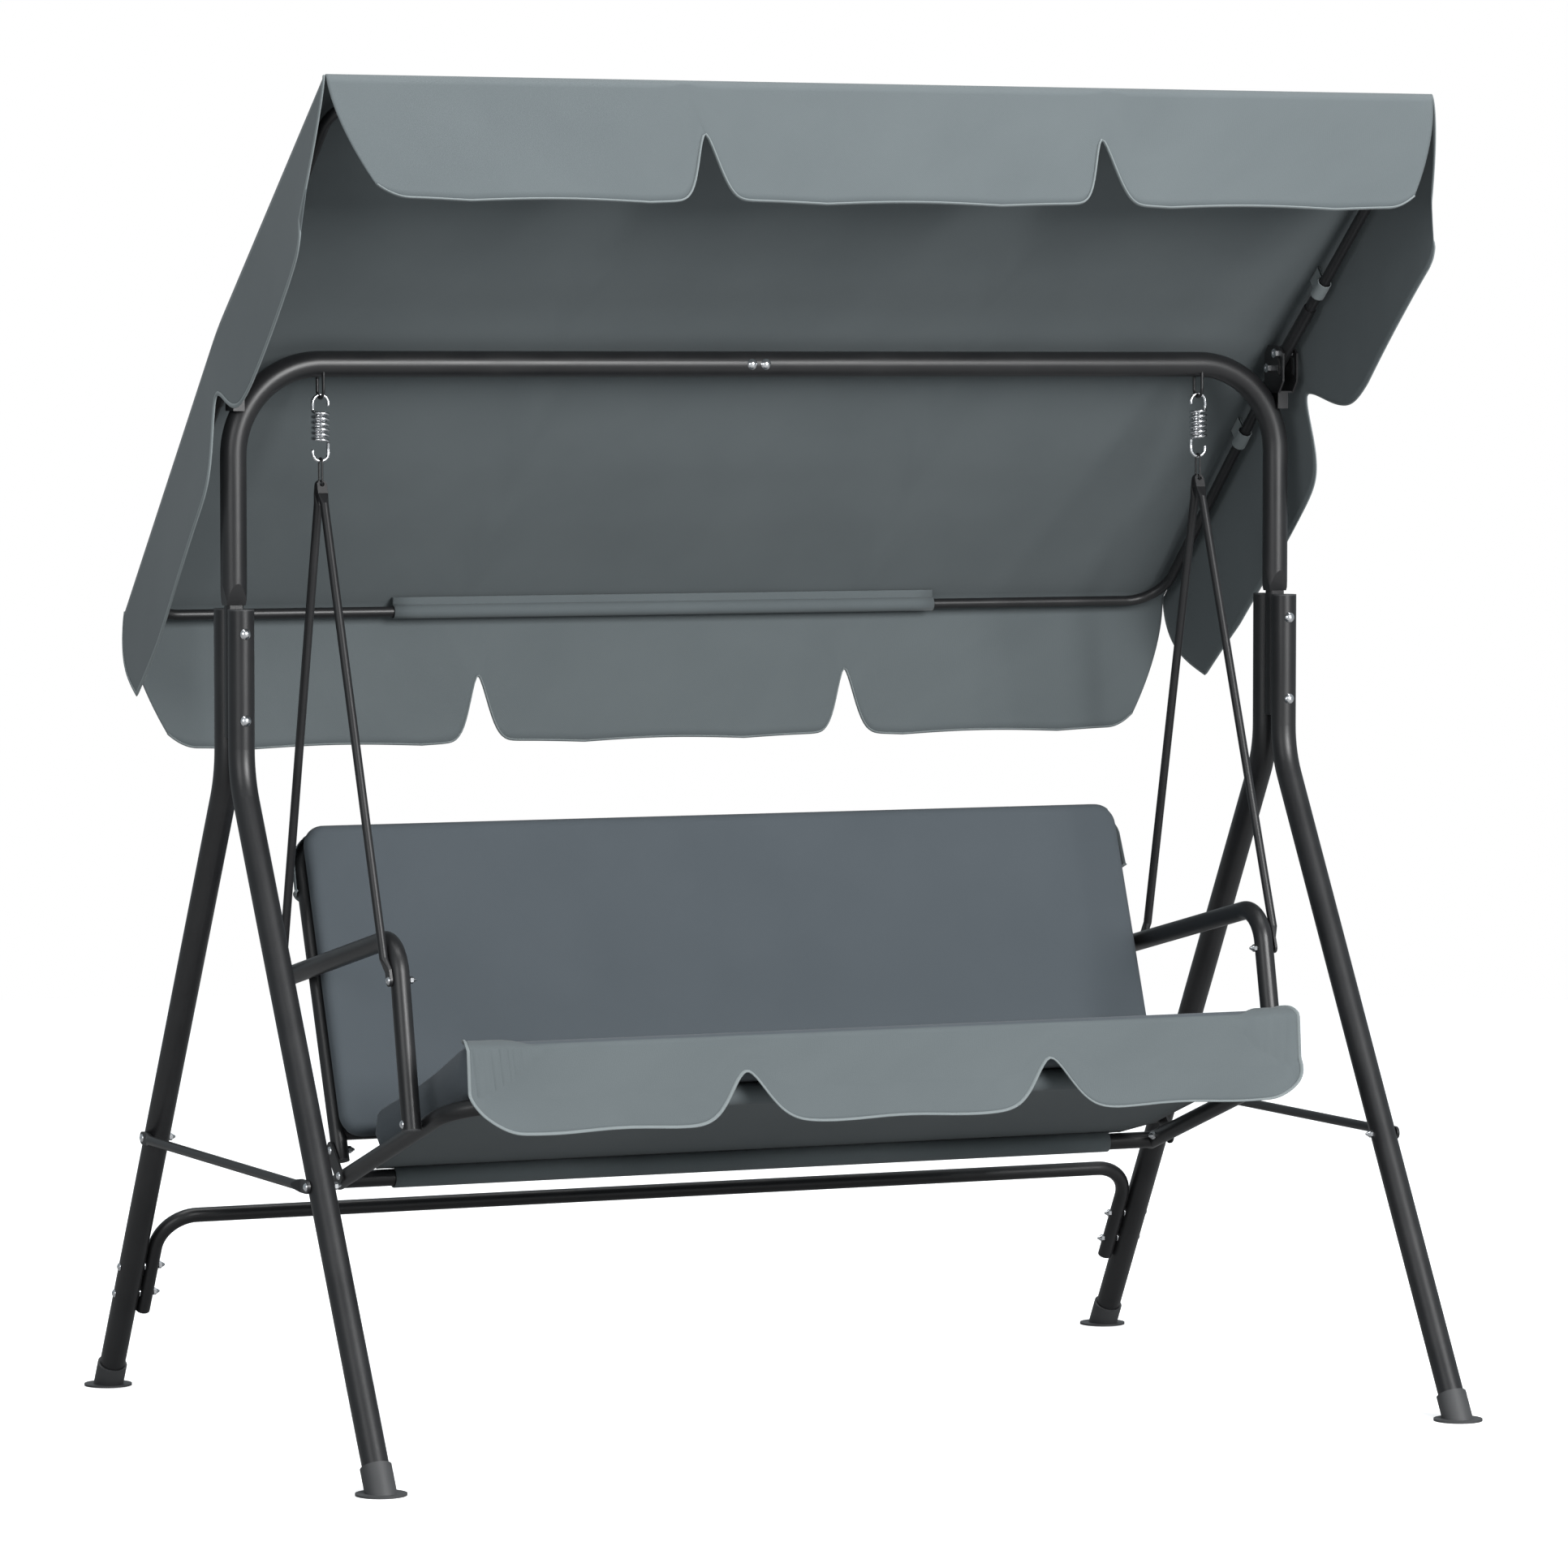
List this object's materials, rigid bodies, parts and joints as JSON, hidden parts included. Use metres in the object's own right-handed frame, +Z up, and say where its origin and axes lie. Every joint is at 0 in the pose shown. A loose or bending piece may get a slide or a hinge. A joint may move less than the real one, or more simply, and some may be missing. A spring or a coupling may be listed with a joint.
{
  "type": "garden swing",
  "caption": "Garden swing bench hung on springs under a tubular arch frame, with padded seat and back and a tilting scalloped fabric canopy.",
  "frame": {"origin": "on the floor, midway between the four feet", "axes": "+X to the right seen from the front, -Y towards the front of the seat, +Z up"},
  "size_m": [1.7954, 1.228, 1.9426],
  "materials": {
    "black_steel": "semi-gloss powder coat",
    "zinc_steel": "bright zinc",
    "black_plastic": "matte",
    "grey_fabric": "woven polyester",
    "grey_padding": "woven polyester over foam"
  },
  "bodies": {
    "frame": {"leg_front_left": "black_steel", "leg_front_right": "black_steel", "leg_rear_left": "black_steel", "leg_rear_right": "black_steel", "foot_front_left": "black_plastic", "foot_front_right": "black_plastic", "foot_rear_left": "black_plastic", "foot_rear_right": "black_plastic", "arch_left": "black_steel", "arch_right": "black_steel", "arch_joint_bolts": "zinc_steel", "leg_bolts": "zinc_steel", "leg_caps": "black_plastic", "cross_tube_left": "black_steel", "cross_tube_right": "black_steel", "cross_tube_bolts": "zinc_steel", "side_brace_left": "black_steel", "side_brace_right": "black_steel", "brace_bolts": "zinc_steel", "spring_eye_left": "black_steel", "spring_eye_right": "black_steel", "canopy_bracket_left": "black_steel", "canopy_bracket_right": "black_steel"},
    "canopy": {"canopy_frame_front": "black_steel", "canopy_frame_rear": "black_steel", "canopy_joiner_left": "black_steel", "canopy_joiner_right": "black_steel", "canopy_bolts": "zinc_steel", "canopy_roof": "grey_fabric", "canopy_valance_front": "grey_fabric", "canopy_valance_rear": "grey_fabric", "canopy_valance_left": "grey_fabric", "canopy_valance_right": "grey_fabric", "canopy_straps": "grey_fabric", "canopy_sleeves": "grey_fabric"},
    "springs": {"spring_left": "zinc_steel", "spring_right": "zinc_steel"},
    "links": {"hanger_link_left": "black_steel", "hanger_link_right": "black_steel"},
    "seat": {"hanger_rod_front_left": "black_steel", "hanger_rod_front_right": "black_steel", "hanger_rod_rear_left": "black_steel", "hanger_rod_rear_right": "black_steel", "seat_rail_left": "black_steel", "seat_rail_right": "black_steel", "seat_rear_tube": "black_steel", "back_frame": "black_steel", "back_lower_tube": "black_steel", "corner_plates": "black_steel", "armrest_left": "black_steel", "armrest_right": "black_steel", "seat_caps": "black_plastic", "hanger_bolts": "zinc_steel", "seat_bolts": "zinc_steel", "seat_sling": "grey_fabric", "seat_pad": "grey_padding", "seat_valance": "grey_fabric", "back_pad": "grey_padding", "back_pocket": "grey_fabric"}
  },
  "joints": [
    {"name": "canopy_tilt", "type": "hinge", "parent": "frame", "child": "canopy", "pos_m": [0, 0.003, 1.5395], "axis": [1, 0, 0], "range_deg": [0, 50]},
    {"name": "seat_swing", "type": "hinge", "parent": "frame", "child": "springs", "pos_m": [0, 0, 1.50895], "axis": [1, 0, 0], "range_deg": [-10, 10]},
    {"name": "spring_stretch", "type": "slide", "parent": "springs", "child": "links", "axis": [0, 0, -1], "range_m": [0, 0.015], "stiffness_N_per_m": 40000, "springref_m": -0.006, "deforming": ["spring_left", "spring_right"]},
    {"name": "seat_rock", "type": "hinge", "parent": "links", "child": "seat", "pos_m": [0, 0, 1.377], "axis": [1, 0, 0], "range_deg": [-4, 4]}
  ]
}
